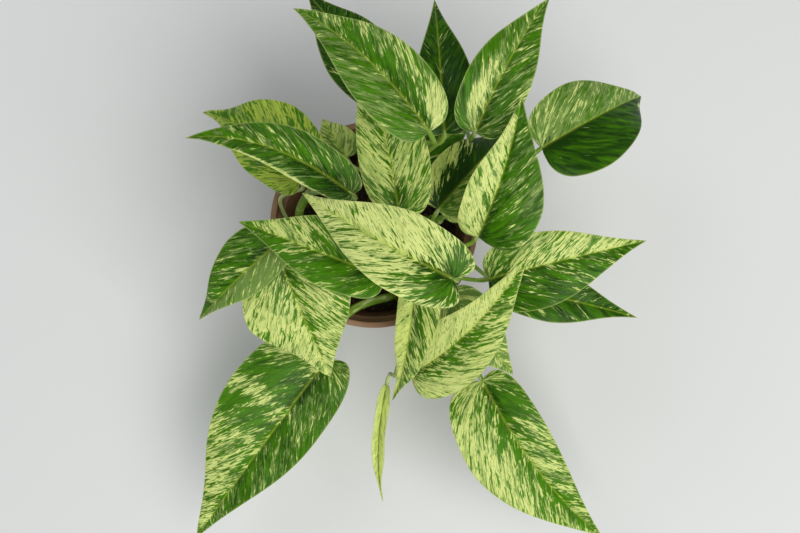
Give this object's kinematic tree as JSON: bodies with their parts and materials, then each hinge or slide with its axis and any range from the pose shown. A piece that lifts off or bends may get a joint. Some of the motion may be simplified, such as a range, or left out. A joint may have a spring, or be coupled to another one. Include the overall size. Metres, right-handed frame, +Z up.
{
  "type": "potted pothos plant",
  "caption": "Variegated pothos in a round tapered nursery pot, cream-streaked heart-shaped leaves on long stalks, with some stems arching over the rim.",
  "frame": {"origin": "centre of the pot's flat underside", "axes": "+Z up along the pot's axis; +Y away from the viewer, so the longest trailing leaves point to -Y"},
  "size_m": [0.2353, 0.2803, 0.1933],
  "materials": {
    "pot_plastic": "satin brown moulded plastic",
    "soil": "damp peat with bark and perlite",
    "vine_green": "smooth green stem",
    "petiole_green": "smooth pale green stalk",
    "leaf_variegated": "waxy green blade marbled with cream"
  },
  "bodies": {
    "root": {"blade_back": "leaf_variegated", "blade_back_left": "leaf_variegated", "blade_back_left_low": "leaf_variegated", "blade_back_low": "leaf_variegated", "blade_back_right": "leaf_variegated", "blade_crown": "leaf_variegated", "blade_far_right": "leaf_variegated", "blade_front": "leaf_variegated", "blade_front_left": "leaf_variegated", "blade_furled": "leaf_variegated", "blade_left": "leaf_variegated", "blade_left_back": "leaf_variegated", "blade_left_high": "leaf_variegated", "blade_left_low": "leaf_variegated", "blade_middle_back": "leaf_variegated", "blade_right": "leaf_variegated", "blade_right_back": "leaf_variegated", "blade_right_high": "leaf_variegated", "blade_right_low": "leaf_variegated", "blade_shoulder": "leaf_variegated", "blade_small_back": "leaf_variegated", "blade_trailing_left": "leaf_variegated", "blade_trailing_right": "leaf_variegated", "blade_under_shoulder": "leaf_variegated", "petiole_back": "petiole_green", "petiole_back_left": "petiole_green", "petiole_back_left_low": "petiole_green", "petiole_back_low": "petiole_green", "petiole_back_right": "petiole_green", "petiole_crown": "petiole_green", "petiole_far_right": "petiole_green", "petiole_front": "petiole_green", "petiole_front_left": "petiole_green", "petiole_furled": "petiole_green", "petiole_left": "petiole_green", "petiole_left_back": "petiole_green", "petiole_left_high": "petiole_green", "petiole_left_low": "petiole_green", "petiole_middle_back": "petiole_green", "petiole_right": "petiole_green", "petiole_right_back": "petiole_green", "petiole_right_high": "petiole_green", "petiole_right_low": "petiole_green", "petiole_shoulder": "petiole_green", "petiole_small_back": "petiole_green", "petiole_trailing_left": "petiole_green", "petiole_trailing_right": "petiole_green", "petiole_under_shoulder": "petiole_green", "pot": "pot_plastic", "potting_soil": "soil", "vine_back": "vine_green", "vine_front": "vine_green", "vine_left": "vine_green", "vine_middle": "vine_green", "vine_over_front": "vine_green", "vine_over_left": "vine_green", "vine_over_right": "vine_green", "vine_right": "vine_green"}
  },
  "joints": []
}
